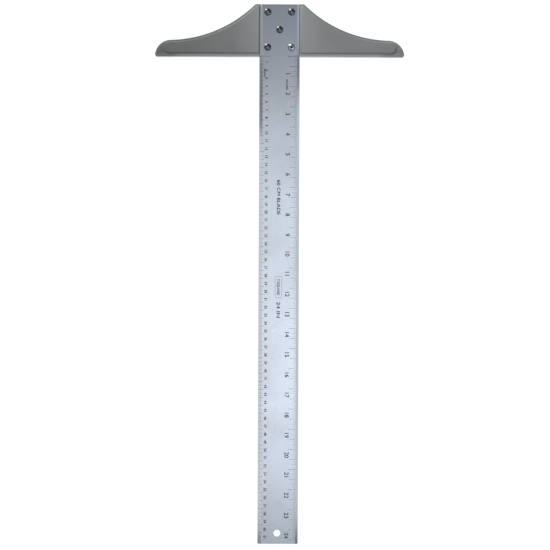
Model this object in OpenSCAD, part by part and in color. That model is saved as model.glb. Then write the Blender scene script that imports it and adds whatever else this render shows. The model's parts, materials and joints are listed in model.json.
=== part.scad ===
// Drawing T-square: a metal blade with bevelled edges, blind-riveted into a channel
// across a moulded plastic head. The origin is the foot of the head's working edge, on
// the centre line of the blade. X runs across the blade, Y from the blade's free end
// towards the head, and Z up through the graduated face.

/* [Blade] */
// Length of the graduated scale, from the working edge
scale_l = 609.6; // [300:0.1:1200]
// Plain stock past the last graduation
end_margin = 4.9; // [1:0.1:20]
// Width of the blade
blade_w = 50.8; // [44:0.1:80]
// Thickness of the blade between its bevels
blade_t = 2.0; // [1.2:0.1:4]
// Width of the bevel along the metric edge, on the left
metric_bevel_w = 4.3; // [2:0.1:8]
// Width of the bevel along the inch edge, on the right
inch_bevel_w = 3.4; // [2:0.1:8]
// Thickness left at the bevelled edges
bevel_edge_t = 0.9; // [0.4:0.1:1.1]
// Radius of the blade's four corners
blade_corner_r = 0.8; // [0.3:0.1:4]
// Diameter of the hole the square hangs from
hang_hole_d = 8.5; // [4:0.1:14]
// From the free end to the centre of the hanging hole
hang_hole_from_end = 13.5; // [10:0.1:30]
// Sideways place of the hanging hole, from the centre line
hang_hole_x = -0.9; // [-8:0.1:8]

/* [Head outline] */
// Width of the head from tip to tip
head_w = 314.6; // [260:0.1:400]
// Depth of the head, from the working edge to the back
head_d = 66; // [62:0.1:90]
// Plastic on each side of the blade at the back edge, before its corners are rounded
back_cheek_w = 5.3; // [3.5:0.1:20]
// Radius of each rounded tip
tip_r = 20.5; // [17:0.1:26]
// Radius of the concave sweep from the back to each tip
sweep_r = 156.5; // [120:0.5:300]
// Radius of the back corners
back_corner_r = 3; // [0.5:0.1:6]
// Chamfer where each tip meets the working edge
foot_chamfer = 1.2; // [0.5:0.1:4]

/* [Head section] */
// How far the head reaches below the underside of the blade
guide_h = 7.5; // [6:0.1:16]
// Top of the ledge, below the top of the blade
ledge_drop = 0.2; // [0:0.1:1]
// Top of the raised field, above the top of the blade
field_rise = 1.5; // [0.6:0.1:4]
// Width of the ledge along the working edge
front_ledge_w = 3.8; // [2:0.1:8]
// Width of the ledge along the sweeps and the back
rim_ledge_w = 2.2; // [1:0.1:5]
// From the tip to the centre of the raised field's round end
field_end_inset = 17.4; // [14:0.1:30]
// Clearance on each side of the blade in its channel
channel_gap = 0.15; // [0.05:0.05:0.5]
// How far the blade stops short of the back of the head
blade_setback = 0.8; // [0:0.1:4]

/* [Head coring] */
// Thickness of the roof over the hollow underside of each wing
roof_t = 2.6; // [1.5:0.1:4]
// How far inside the raised field's outline the hollow begins
core_inset = 1.2; // [0.5:0.1:4]
// Wall between the blade's channel and the hollow of a wing
channel_wall_t = 2.2; // [1.5:0.1:4]
// Room around the washers in the pocket under the blade
washer_room = 1; // [0.3:0.1:2]
// Thickness of the stiffening ribs
rib_t = 2; // [1.2:0.1:4]
// Number of ribs in the hollow of each wing
wing_ribs = 3; // [0:1:6]

/* [Rivets] */
// From the blade's wider bevel to the dome of an outer rivet
rivet_edge_gap = 1.6; // [0.2:0.1:4]
// From the working edge to the front row of rivets
rivet_front_y = 11.5; // [10:0.1:20]
// From the back of the head to the back row of rivets
rivet_back_inset = 10.1; // [9:0.1:20]
// How far the rivets stop above the foot of the head
rivet_foot_gap = 1.2; // [0.3:0.1:4]
// Diameter of the rivet shank
shank_d = 4.8; // [3:0.1:5]
// Clearance around the shank in its holes
shank_gap = 0.1; // [0.05:0.05:0.3]
// Diameter of the domed rivet head
dome_d = 9; // [7:0.1:12]
// Height of the domed rivet head
dome_h = 1.5; // [1:0.1:2.5]
// Thickness at the rim of the dome
dome_rim_t = 0.3; // [0.1:0.1:0.6]
// Diameter of the flared blind end
flare_d = 7.4; // [6:0.1:9]
// Height of the flared blind end
flare_h = 1.8; // [1:0.1:2.5]
// Diameter of the mandrel stem
mandrel_d = 2.6; // [1.5:0.1:2.8]
// Clearance around the mandrel stem
mandrel_gap = 0.05; // [0.02:0.01:0.2]
// Depth of the broken mandrel end below the top of the dome
mandrel_sink = 0.7; // [0.2:0.1:1.5]
// Diameter of the mandrel's head
mandrel_head_d = 4.2; // [3.2:0.1:4.6]
// Height of the mandrel's head
mandrel_head_h = 1.2; // [0.6:0.1:1.5]
// Diameter of the backing washer
washer_d = 12; // [9:0.1:13]
// Thickness of the backing washer
washer_t = 0.8; // [0.5:0.1:1.2]

/* [Hidden] */
PLACES = ["back_left", "back_right", "middle", "front_left", "front_right"];

// Overlap of a cut past the face it cuts through
over = 1;
// Steps round a full circle
$fn = 120;

// Heights, from the foot of the head
blade_top = guide_h + blade_t;
ledge_top = blade_top - ledge_drop;
field_top = blade_top + field_rise;
flare_foot = rivet_foot_gap + mandrel_head_h;
pocket_top = flare_foot + flare_h + washer_t;

// The blade, along Y
blade_back = head_d - blade_setback;
blade_l = scale_l + end_margin + blade_back;

// The head's outline: the tip circle, the back corner and the sweep circle that joins them
tip_c = [head_w / 2 - tip_r, 0];
back_corner = [blade_w / 2 + back_cheek_w, head_d];
sweep_c = meeting_point(tip_c, sweep_r + tip_r, back_corner, sweep_r);
round_back_c = [sweep_c.x - beside(sweep_r + back_corner_r, sweep_c.y - head_d + back_corner_r),
                head_d - back_corner_r];

// The raised field: the same curves, moved in by the ledge, with a round end of its own
field_end_x = head_w / 2 - field_end_inset;
field_end_r = round_end_r(field_end_x, front_ledge_w, sweep_r + rim_ledge_w);
channel_half_w = blade_w / 2 + channel_gap;
core_x = channel_half_w + channel_wall_t;

// Rivets: the four corners of a rectangle and its middle
rivet_x = blade_w / 2 - max(metric_bevel_w, inch_bevel_w) - rivet_edge_gap - dome_d / 2;
rivet_back_y = head_d - rivet_back_inset;
rivet_mid_y = (rivet_front_y + rivet_back_y) / 2;
RIVETS = [[-rivet_x, rivet_back_y],
          [rivet_x, rivet_back_y],
          [0, rivet_mid_y],
          [-rivet_x, rivet_front_y],
          [rivet_x, rivet_front_y]];
rivet_hole_d = shank_d + 2 * shank_gap;
rivet_bore_d = mandrel_d + 2 * mandrel_gap;

// The point at distance ra from a and rb from b, on the right of the way from a to b
function meeting_point(a, ra, b, rb) =
    let (d = norm(b - a), along = (ra * ra - rb * rb + d * d) / (2 * d), u = (b - a) / d)
    a + along * u + beside(ra, along) * [u.y, -u.x];

// The point at distance r from a, on the way to b
function toward(a, b, r) = a + (b - a) * r / norm(b - a);

// The other leg of a right triangle
function beside(hypotenuse, leg) = sqrt(hypotenuse * hypotenuse - leg * leg);

// Radius of a circle centred above x that touches both the line y and a circle r about sweep_c
function round_end_r(x, y, r) =
    (pow(sweep_c.x - x, 2) + pow(sweep_c.y - y, 2) - r * r) / (2 * (r + sweep_c.y - y));

// A shape and its mirror image across the centre line
module both_sides() {
    children();
    mirror([1, 0, 0]) children();
}

// Right half of the head's outline
module half_outline() {
    difference() {
        polygon([[0, 0], tip_c, toward(tip_c, sweep_c, tip_r), toward(sweep_c, round_back_c, sweep_r),
                 round_back_c, [round_back_c.x, head_d], [0, head_d]]);
        translate(sweep_c) circle(sweep_r);
    }
    translate(round_back_c) circle(back_corner_r);
    difference() {
        translate(tip_c) circle(tip_r);
        translate([0, -tip_r - over]) square([head_w, tip_r + over]);
        translate([head_w / 2 - foot_chamfer, 0]) rotate(45)
            translate([-tip_r, -tip_r]) square([2 * tip_r, tip_r]);
    }
}

// Outline of the raised field on the right wing, moved in by d all round, from x = start
module field_outline(d, start) {
    front_y = front_ledge_w + d;
    back_y = head_d - rim_ledge_w - d;
    r = sweep_r + rim_ledge_w + d;
    end_c = [field_end_x, front_ledge_w + field_end_r];
    end_r = field_end_r - d;
    difference() {
        polygon([[start, front_y], [end_c.x, front_y], end_c, toward(end_c, sweep_c, end_r),
                 [sweep_c.x - beside(r, sweep_c.y - back_y), back_y], [start, back_y]]);
        translate(sweep_c) circle(r);
    }
    translate(end_c) circle(end_r);
}

// Round holes for all the rivets
module rivet_holes() {
    for (p = RIVETS) translate([p.x, p.y, -over]) cylinder(d = rivet_hole_d, h = field_top + 2 * over);
}

module blade() {
    color("#c8cdd8") difference() {
        intersection() {
            translate([0, blade_back, guide_h]) rotate([90, 0, 0]) linear_extrude(blade_l) blade_section();
            translate([0, 0, guide_h - over]) linear_extrude(blade_t + 2 * over) blade_plan();
        }
        rivet_holes();
        translate([hang_hole_x, hang_hole_from_end - scale_l - end_margin, guide_h - over])
            cylinder(d = hang_hole_d, h = blade_t + 2 * over);
    }
}

// Section across the blade: flat below, with a bevel down to each long edge above
module blade_section() {
    edge_x = blade_w / 2;
    polygon([[-edge_x, 0], [edge_x, 0], [edge_x, bevel_edge_t], [edge_x - inch_bevel_w, blade_t],
             [metric_bevel_w - edge_x, blade_t], [-edge_x, bevel_edge_t]]);
}

// Plan of the blade, with its corners rounded
module blade_plan() {
    front = -scale_l - end_margin;
    x = blade_w / 2 - blade_corner_r;
    translate([-blade_w / 2, front + blade_corner_r]) square([blade_w, blade_l - 2 * blade_corner_r]);
    translate([-x, front]) square([2 * x, blade_l]);
    for (side = [-1, 1], y = [front + blade_corner_r, blade_back - blade_corner_r])
        translate([side * x, y]) circle(blade_corner_r);
}

module head() {
    color("#7c8080") difference() {
        union() {
            linear_extrude(ledge_top) both_sides() half_outline();
            both_sides() linear_extrude(field_top) field_outline(0, 0);
        }
        channel();
        both_sides() wing_core();
        pocket();
        rivet_holes();
    }
}

// Channel for the blade, right across the head
module channel() {
    translate([-channel_half_w, -over, guide_h])
        cube([2 * channel_half_w, head_d + 2 * over, field_top]);
}

// Hollow underside of the right wing, crossed by ribs
module wing_core() {
    pitch = (field_end_x + field_end_r - core_x) / (wing_ribs + 1);
    difference() {
        translate([0, 0, -over]) linear_extrude(field_top - roof_t + over) field_outline(core_inset, core_x);
        for (i = [1:1:wing_ribs])
            translate([core_x + i * pitch - rib_t / 2, 0, -over]) cube([rib_t, head_d, field_top]);
    }
}

// Pocket under the blade, round the washers, with a rib on each side of the middle one
module pocket() {
    margin = washer_d / 2 + washer_room;
    half_w = rivet_x + margin;
    difference() {
        translate([-half_w, rivet_front_y - margin, -over])
            cube([2 * half_w, rivet_back_y - rivet_front_y + 2 * margin, pocket_top + over]);
        for (y = [rivet_front_y, rivet_back_y])
            translate([-half_w, (rivet_mid_y + y - rib_t) / 2, -over])
                cube([2 * half_w, rib_t, pocket_top + 2 * over]);
    }
}

// Hollow rivet body: a dome on the blade, a shank through blade, head and washer, and a flare
module rivet() {
    sphere_r = (pow(dome_d / 2, 2) + pow(dome_h - dome_rim_t, 2)) / (2 * (dome_h - dome_rim_t));
    color("#b4b9bf") rotate_extrude() difference() {
        union() {
            intersection() {
                translate([0, blade_top + dome_h - sphere_r]) circle(sphere_r);
                translate([0, blade_top]) square([dome_d / 2, dome_h]);
            }
            translate([0, flare_foot]) square([shank_d / 2, blade_top + dome_rim_t - flare_foot]);
            polygon([[0, flare_foot], [(shank_d + flare_d) / 4, flare_foot],
                     [flare_d / 2, flare_foot + flare_h / 2],
                     [flare_d / 2, flare_foot + flare_h], [0, flare_foot + flare_h]]);
        }
        translate([-over, flare_foot - over]) square([over + rivet_bore_d / 2, field_top + dome_h]);
    }
}

// Steel stub left in the rivet: a stem, broken off inside the dome, and the head that set the flare
module mandrel() {
    stem_top = blade_top + dome_h - mandrel_sink;
    color("#6f7276") {
        translate([0, 0, flare_foot - mandrel_head_h / 2])
            cylinder(d = mandrel_d, h = stem_top - flare_foot + mandrel_head_h / 2);
        translate([0, 0, flare_foot - mandrel_head_h / 2])
            cylinder(d = mandrel_head_d, h = mandrel_head_h / 2);
        translate([0, 0, flare_foot - mandrel_head_h])
            cylinder(d1 = mandrel_d, d2 = mandrel_head_d, h = mandrel_head_h / 2);
    }
}

// Washer that spreads the pull of the rivet over the plastic floor
module washer() {
    color("#9ea3a8") translate([0, 0, pocket_top - washer_t]) difference() {
        cylinder(d = washer_d, h = washer_t);
        translate([0, 0, -over]) cylinder(d = rivet_hole_d, h = washer_t + 2 * over);
    }
}

blade();
head();
for (i = [0:len(PLACES) - 1]) {
    translate(RIVETS[i]) rivet();
    translate(RIVETS[i]) mandrel();
    translate(RIVETS[i]) washer();
}
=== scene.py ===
# %% [markdown]
# # A drawing T-square
# The real thing is a long aluminium rule, blind-riveted into a channel across a moulded plastic
# head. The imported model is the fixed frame: it says where everything is, in metres. This lesson
# makes the pieces that are seen around that frame, gives each one its finish, and lights them.

# %% The frame and the Blender modules
import json
import math

import bmesh
import bpy
from mathutils import Matrix, Vector

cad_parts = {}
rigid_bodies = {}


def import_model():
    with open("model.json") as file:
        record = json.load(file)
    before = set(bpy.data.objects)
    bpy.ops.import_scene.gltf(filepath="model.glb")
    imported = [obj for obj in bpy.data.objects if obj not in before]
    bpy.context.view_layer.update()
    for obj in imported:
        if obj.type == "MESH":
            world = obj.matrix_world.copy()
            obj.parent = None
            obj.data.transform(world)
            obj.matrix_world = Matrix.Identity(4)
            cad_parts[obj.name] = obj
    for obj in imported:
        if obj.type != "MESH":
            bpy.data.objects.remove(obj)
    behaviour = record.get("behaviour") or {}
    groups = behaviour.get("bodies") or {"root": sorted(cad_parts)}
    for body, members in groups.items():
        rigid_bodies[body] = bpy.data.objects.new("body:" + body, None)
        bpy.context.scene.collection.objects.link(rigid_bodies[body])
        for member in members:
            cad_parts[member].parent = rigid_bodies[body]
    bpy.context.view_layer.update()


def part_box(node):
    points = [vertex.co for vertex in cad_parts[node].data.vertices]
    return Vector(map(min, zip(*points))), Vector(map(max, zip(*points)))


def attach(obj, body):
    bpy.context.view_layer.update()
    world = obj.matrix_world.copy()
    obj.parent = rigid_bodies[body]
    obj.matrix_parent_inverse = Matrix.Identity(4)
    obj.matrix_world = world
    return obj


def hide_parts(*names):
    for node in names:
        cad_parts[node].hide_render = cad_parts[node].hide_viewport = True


for leftover in list(bpy.data.objects):
    bpy.data.objects.remove(leftover)
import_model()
BODY = "root"

# %% [markdown]
# ## Sizes from the frame
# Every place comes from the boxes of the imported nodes, so that the pieces can't drift from the
# design. Only the sizes that a box can't tell, such as radii, are named here, in millimetres
# turned into metres by one factor.

# %% Sizes from the frame
MM = 0.001
PLACES = ("back_left", "back_right", "middle", "front_left", "front_right")
head_low, head_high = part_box("head")
blade_low, blade_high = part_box("blade")
field_top = head_high.z
blade_half = blade_high.x
rivet_boxes = [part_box("rivet_" + place) for place in PLACES]
RIVETS = [(low + high) / 2 for low, high in rivet_boxes]
dome_r = (rivet_boxes[0][1].x - rivet_boxes[0][0].x) / 2
print("head", [round(v / MM, 1) for v in head_high - head_low], "mm")
print("blade", [round(v / MM, 1) for v in blade_high - blade_low], "mm")
print("rivet dome", round(2 * dome_r / MM, 1), "mm across")

# %% [markdown]
# ## The camera
# A long lens straight above the square keeps its edges parallel, as on a copy stand. The
# distance follows from the width of the view and the lens, because an image as wide as the
# sensor is to the lens's focal length as the view is to the distance. It rolls a fraction of
# a degree, because the square doesn't lie quite true to the frame.

# %% The camera
VIEW_W = 693.3 * MM
VIEW_CENTRE = Vector((-4.6 * MM, -275.6 * MM, blade_high.z))
CAMERA_ROLL = math.radians(0.25)
camera_data = bpy.data.cameras.new("camera")
camera_data.lens = 100
camera_distance = VIEW_W * camera_data.lens / camera_data.sensor_width
camera_data.clip_end = 50
camera = bpy.data.objects.new("camera", camera_data)
bpy.context.collection.objects.link(camera)
camera.location = VIEW_CENTRE + Vector((0, 0, camera_distance))
camera.rotation_euler = (0, 0, CAMERA_ROLL)
bpy.context.scene.camera = camera
print("camera", round(camera_distance, 2), "m above the blade")

# %% [markdown]
# ## Small helpers for solids
# Plain solids are the raw stock: a stack of loops for a moulded or sawn shape, a block, and a
# turned shape for anything off a lathe. A boolean then joins them or cuts one out of another,
# as a mould's core or a drill does. `settle` turns whatever the modifiers show into plain mesh.


# %% Helpers for solids
DRILL_STEPS = 48
SAME_PLACE = 1e-7


def to_object(name, bm):
    bmesh.ops.recalc_face_normals(bm, faces=bm.faces)
    mesh = bpy.data.meshes.new(name)
    bm.to_mesh(mesh)
    bm.free()
    made = bpy.data.objects.new(name, mesh)
    bpy.context.collection.objects.link(made)
    return made


def settle(obj):
    """Replaces an object's mesh with what its modifiers make of it, and drops them."""
    depsgraph = bpy.context.evaluated_depsgraph_get()
    mesh = bpy.data.meshes.new_from_object(obj.evaluated_get(depsgraph))
    obj.modifiers.clear()
    obj.data = mesh
    return obj


def stacked(name, loops):
    """A closed solid through loops of equally many points, from the lowest to the highest."""
    bm = bmesh.new()
    rings = [[bm.verts.new(point) for point in loop] for loop in loops]
    for below, above in zip(rings, rings[1:]):
        for i in range(len(below)):
            bm.faces.new((below[i - 1], below[i], above[i], above[i - 1]))
    bm.faces.new(rings[0])
    bm.faces.new(rings[-1])
    return to_object(name, bm)


def block(name, low, high):
    corners = ((low[0], low[1]), (high[0], low[1]), (high[0], high[1]), (low[0], high[1]))
    return stacked(name, [[(x, y, z) for x, y in corners] for z in (low[2], high[2])])


def turned(name, profile, steps=DRILL_STEPS):
    """Turns a closed profile of (radius, height) points round the Z axis."""
    bm = bmesh.new()
    turns = [math.tau * i / steps for i in range(steps)]
    rings = [[bm.verts.new((r * math.cos(a), r * math.sin(a), z)) for r, z in profile] for a in turns]
    for k in range(steps):
        for i in range(len(profile)):
            bm.faces.new((rings[k - 1][i - 1], rings[k - 1][i], rings[k][i], rings[k][i - 1]))
    bmesh.ops.remove_doubles(bm, verts=bm.verts, dist=SAME_PLACE)
    return to_object(name, bm)


def shape_with(obj, tool, operation="DIFFERENCE"):
    """Cuts a tool out of an object, or joins it on, and drops the tool."""
    modifier = obj.modifiers.new("shape", "BOOLEAN")
    modifier.object = tool
    modifier.operation = operation
    modifier.solver = "EXACT"
    settle(obj)
    bpy.data.objects.remove(tool)
    return obj


def drill(obj, centre, radius, low, high):
    """Drills a round hole up through an object."""
    bit = turned("drill", [(0, low), (radius, low), (radius, high), (0, high)])
    bit.data.transform(Matrix.Translation((centre.x, centre.y, 0)))
    return shape_with(obj, bit)


def soften(obj, width, sharper_than):
    """Rounds every edge sharper than an angle in degrees by a small bevel, and smooths the rest."""
    for polygon in obj.data.polygons:
        polygon.use_smooth = True
    bevel = obj.modifiers.new("edges", "BEVEL")
    bevel.width = width
    bevel.segments = 2
    bevel.limit_method = "ANGLE"
    bevel.angle_limit = math.radians(sharper_than)
    bevel.harden_normals = True
    return settle(obj)


# %% [markdown]
# ## The outline of the head
# Each wing is drawn with compasses: a round tip, a wide hollow sweep and a small back corner,
# all touching each other. Because they are arcs, moving the whole outline inwards only changes
# their radii, so one function gives the outline at any inset.

# %% The compass points of the head
tip_r = 20.5 * MM
sweep_r = 156.5 * MM
back_corner_r = 3 * MM
foot_corner_r = 2.2 * MM
back_cheek_w = 5.3 * MM
front_ledge_w = 3.8 * MM
rim_ledge_w = 2.2 * MM
field_end_inset = 17.4 * MM
head_half = head_high.x
head_d = head_high.y
RIGHT_ANGLE = math.pi / 2
FOOT_STEPS = 6
TIP_STEPS = 28
SWEEP_STEPS = 56
BACK_STEPS = 8
FIELD_END_STEPS = 24


def other_leg(hypotenuse, leg):
    return math.sqrt(hypotenuse**2 - leg**2)


def crossing(a, a_r, b, b_r):
    """Where two circles cross, on the right of the way from a to b."""
    gap = (b - a).length
    along = (a_r**2 - b_r**2 + gap**2) / (2 * gap)
    ahead = (b - a) / gap
    return a + along * ahead + other_leg(a_r, along) * Vector((ahead.y, -ahead.x))


def angle_to(a, b):
    return math.atan2(b.y - a.y, b.x - a.x)


def arc(centre, radius, start, end, steps):
    """Points round part of a circle, both ends included."""
    angles = [start + (end - start) * i / steps for i in range(steps + 1)]
    return [Vector((centre.x + radius * math.cos(a), centre.y + radius * math.sin(a))) for a in angles]


tip_c = Vector((head_half - tip_r, 0))
back_corner = Vector((blade_half + back_cheek_w, head_d))
sweep_c = crossing(tip_c, sweep_r + tip_r, back_corner, sweep_r)
back_c = Vector((0, head_d - back_corner_r))
back_c.x = sweep_c.x - other_leg(sweep_r + back_corner_r, sweep_c.y - back_c.y)
foot_c = Vector((tip_c.x + other_leg(tip_r - foot_corner_r, foot_corner_r), foot_corner_r))
print("sweep centre", [round(v / MM, 1) for v in sweep_c], "mm")


# %% The outline and the raised field at any inset
def head_outline(inset):
    """The head's whole outline, moved inwards, as 2D points."""
    right = [Vector((0, inset))]
    right += arc(foot_c, foot_corner_r - inset, -RIGHT_ANGLE, angle_to(tip_c, foot_c), FOOT_STEPS)
    right += arc(tip_c, tip_r - inset, angle_to(tip_c, foot_c), angle_to(tip_c, sweep_c), TIP_STEPS)[1:]
    right += arc(sweep_c, sweep_r + inset, angle_to(sweep_c, tip_c), angle_to(sweep_c, back_c),
                 SWEEP_STEPS)[1:]
    right += arc(back_c, back_corner_r - inset, angle_to(back_c, sweep_c), RIGHT_ANGLE, BACK_STEPS)[1:]
    right += [Vector((0, head_d - inset))]
    return right + [Vector((-p.x, p.y)) for p in reversed(right[1:-1])]


def field_outline(inset, start_x):
    """One wing's raised field, moved inwards, from start_x outwards."""
    front_y = front_ledge_w + inset
    back_y = head_d - rim_ledge_w - inset
    radius = sweep_r + rim_ledge_w
    end_x = head_half - field_end_inset
    leg = Vector((sweep_c.x - end_x, sweep_c.y - front_ledge_w))
    end_r = (leg.length_squared - radius**2) / (2 * (radius + leg.y))
    end_c = Vector((end_x, front_ledge_w + end_r))
    top = Vector((sweep_c.x - other_leg(radius + inset, sweep_c.y - back_y), back_y))
    points = [Vector((start_x, front_y))]
    points += arc(end_c, end_r - inset, -RIGHT_ANGLE, angle_to(end_c, sweep_c), FIELD_END_STEPS)
    points += arc(sweep_c, radius + inset, angle_to(sweep_c, end_c), angle_to(sweep_c, top), SWEEP_STEPS)[1:]
    return points + [Vector((start_x, back_y))]


def at_height(points, z, side=1):
    """2D points lifted to a height, on the right side or mirrored to the left."""
    return [(side * p.x, p.y, z) for p in points]


# %% [markdown]
# ## The moulded head
# The head is one injection moulding: a slab with a ledge round its rim, a raised field on each
# wing that swells up over a soft shoulder, a channel for the blade, and a hollow underside with
# ribs. It could be sculpted or subdivided, but a mould is itself made of a cavity and cores, so
# booleans follow the real way of making it, and keep flat faces flat. The shoulder is a quarter
# ellipse: narrow towards the rim, wide towards the blade.

# %% The slab and its fields
LEDGE_DROP = 0.2 * MM
CHANNEL_GAP = 0.15 * MM
SHOULDER_W = 1.5 * MM
CHANNEL_SHOULDER_W = 3.4 * MM
SHOULDER_STEPS = 7
FIELD_LAP = 0.5 * MM
SINK = 2 * MM
FOOT_ROUND = 0.35 * MM
LEDGE_ROUND = 0.6 * MM
ledge_top = blade_high.z - LEDGE_DROP
channel_half = blade_half + CHANNEL_GAP
quarter = [RIGHT_ANGLE * i / SHOULDER_STEPS for i in range(SHOULDER_STEPS + 1)]
foot_loops = [at_height(head_outline(FOOT_ROUND * (1 - math.sin(a))), FOOT_ROUND * (1 - math.cos(a)))
              for a in quarter[::2]]
ledge_loops = [at_height(head_outline(LEDGE_ROUND * (1 - math.cos(a))),
                         ledge_top - LEDGE_ROUND * (1 - math.sin(a))) for a in quarter[::2]]
head = stacked("head_moulding", foot_loops + ledge_loops)
for side in (1, -1):
    start_x = channel_half - FIELD_LAP
    loops = [at_height(field_outline(0, start_x), ledge_top - SINK, side)]
    for a in quarter[1:]:
        spread = 1 - math.cos(a)
        outline = field_outline(SHOULDER_W * spread, start_x + CHANNEL_SHOULDER_W * spread)
        loops.append(at_height(outline, ledge_top + (field_top - ledge_top) * math.sin(a), side))
    shape_with(head, stacked("field", loops), "UNION")
print("slab and fields", len(head.data.polygons), "faces")

# %% The channel, the hollow wings, the pocket and the rivet holes
over = 5 * MM
FAR = 1
roof_t = 2.6 * MM
core_inset = 1.2 * MM
channel_wall_t = 2.2 * MM
washer_room = 1 * MM
rivet_hole_r = 2.5 * MM
rib_t = 2 * MM
WING_RIBS = 3
DRAFT = 0.15 * MM
HEAD_ARRIS = 0.18 * MM
guide_h = blade_low.z
core_x = channel_half + channel_wall_t
washer_low, washer_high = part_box("washer_middle")
shape_with(head, block("channel", (-channel_half, -over, guide_h), (channel_half, head_d + over, FAR)))
field_tip_x = max(p.x for p in field_outline(0, core_x))
for side in (1, -1):
    core = stacked("core", [at_height(field_outline(core_inset, core_x), -over, side),
                            at_height(field_outline(core_inset, core_x), 0, side),
                            at_height(field_outline(core_inset + DRAFT, core_x + DRAFT),
                                      field_top - roof_t, side)])
    for i in range(WING_RIBS):
        x = side * (core_x + (i + 1) * (field_tip_x - core_x) / (WING_RIBS + 1))
        rib = block("rib", (x - rib_t / 2, -over, -2 * over), (x + rib_t / 2, head_d + over, 2 * field_top))
        shape_with(core, rib)
    shape_with(head, core)
margin = (washer_high.x - washer_low.x) / 2 + washer_room
pocket_half = max(r.x for r in RIVETS) + margin
rows = sorted({round(r.y, 5) for r in RIVETS})
pocket = block("pocket", (-pocket_half, rows[0] - margin, -over),
               (pocket_half, rows[-1] + margin, washer_high.z))
for front, back in zip(rows, rows[1:]):
    y = (front + back) / 2
    shape_with(pocket, block("rib", (-FAR, y - rib_t / 2, -FAR), (FAR, y + rib_t / 2, FAR)))
shape_with(head, pocket)
for rivet in RIVETS:
    drill(head, rivet, rivet_hole_r, -over, field_top + over)
soften(head, HEAD_ARRIS, 50)
print("head moulding", len(head.data.polygons), "faces")

# %% [markdown]
# ## The blade
# The blade is drawn aluminium strip with a shallow bevel along each long edge, a little wider on
# the metric side. It is sawn to length, its corners are eased and its holes drilled. An extruded
# section cut by a plan gives exactly that, and a hair's breadth of bevel on its arrises gives the
# light something to catch.

# %% The blade
metric_bevel_w = 4.3 * MM
inch_bevel_w = 3.4 * MM
bevel_edge_t = 0.9 * MM
corner_r = 0.8 * MM
hang_hole_r = 4.25 * MM
hang_hole_x = -0.9 * MM
hang_hole_from_end = 13.5 * MM
BLADE_ARRIS = 0.12 * MM
CORNER_STEPS = 6
metric_flat_x = metric_bevel_w - blade_half
inch_flat_x = blade_half - inch_bevel_w
edge_top = blade_low.z + bevel_edge_t
section = [(-blade_half, blade_low.z), (blade_half, blade_low.z), (blade_half, edge_top),
           (inch_flat_x, blade_high.z), (metric_flat_x, blade_high.z), (-blade_half, edge_top)]
both_ends = (blade_low.y - over, blade_high.y + over)
blade = stacked("blade_rule", [[(x, y, z) for x, z in section] for y in both_ends])
plan = []
corners = [(1, blade_low.y + corner_r, -1), (1, blade_high.y - corner_r, 0),
           (-1, blade_high.y - corner_r, 1), (-1, blade_low.y + corner_r, 2)]
for side, y, turn in corners:
    centre = Vector((side * (blade_half - corner_r), y))
    plan += arc(centre, corner_r, turn * RIGHT_ANGLE, (turn + 1) * RIGHT_ANGLE, CORNER_STEPS)
shape_with(blade, stacked("plan", [at_height(plan, -over), at_height(plan, 4 * over)]), "INTERSECT")
for rivet in RIVETS:
    drill(blade, rivet, rivet_hole_r, -over, 4 * over)
hang_hole = Vector((hang_hole_x, blade_low.y + hang_hole_from_end))
drill(blade, hang_hole, hang_hole_r, -over, 4 * over)
soften(blade, BLADE_ARRIS, 10)
print("blade", len(blade.data.polygons), "faces")

# %% [markdown]
# ## Building node trees
# The rivets, the graduations and the numerals all follow rules, so Geometry Nodes make them. The
# helpers below keep every tree short: `node` adds one node with its settings and joins its inputs
# to other sockets or gives them values, `geometry_tree` starts a tree with named inputs, and
# `dress` ends it. `grown` runs a tree on an object and keeps the result as plain mesh.


# %% Helpers for node trees
def node(tree, kind, inputs=None, **settings):
    """Adds a node. Each input is either another node's output socket or a plain value."""
    made = tree.nodes.new(kind)
    for name, value in settings.items():
        setattr(made, name, value)
    for key, value in (inputs or {}).items():
        if isinstance(value, bpy.types.NodeSocket):
            tree.links.new(value, made.inputs[key])
        else:
            made.inputs[key].default_value = value
    return made


def math_node(tree, operation, *values, clamp=False):
    """The result of a Math node on one to three values or sockets."""
    made = node(tree, "ShaderNodeMath", dict(enumerate(values)), operation=operation, use_clamp=clamp)
    return made.outputs[0]


def times(tree, result, *factors):
    """Values or sockets multiplied together."""
    for factor in factors:
        result = math_node(tree, "MULTIPLY", result, factor)
    return result


def added(tree, base, value, share):
    """A base with a share of another value on top."""
    return math_node(tree, "MULTIPLY_ADD", value, share, base)


def parts_of(tree, vector):
    """The outputs X, Y and Z of a vector."""
    return node(tree, "ShaderNodeSeparateXYZ", {"Vector": vector}).outputs


def vector_of(tree, **parts):
    """A vector from its X, Y and Z. What isn't given is zero."""
    return node(tree, "ShaderNodeCombineXYZ", parts).outputs[0]


def vector_math(tree, operation, *values):
    """The vector that a Vector Math node gives for its values or sockets."""
    made = node(tree, "ShaderNodeVectorMath", dict(enumerate(values)), operation=operation)
    return made.outputs["Vector"]


def add_sockets(tree, in_out, sockets):
    for name, kind in sockets.items():
        tree.interface.new_socket(name, in_out=in_out, socket_type="NodeSocket" + kind)


def geometry_tree(name, **sockets):
    """A new Geometry Nodes tree, its Group Input and its Group Output."""
    tree = bpy.data.node_groups.new(name, "GeometryNodeTree")
    names = {key.replace("_", " ").title(): kind for key, kind in sockets.items()}
    add_sockets(tree, "INPUT", {"Geometry": "Geometry"} | names)
    add_sockets(tree, "OUTPUT", {"Geometry": "Geometry"})
    return tree, tree.nodes.new("NodeGroupInput").outputs, tree.nodes.new("NodeGroupOutput").inputs


def joined(tree, *parts):
    """Several geometries as one."""
    made = node(tree, "GeometryNodeJoinGeometry")
    for part in parts:
        tree.links.new(part, made.inputs[0])
    return made.outputs[0]


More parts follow.
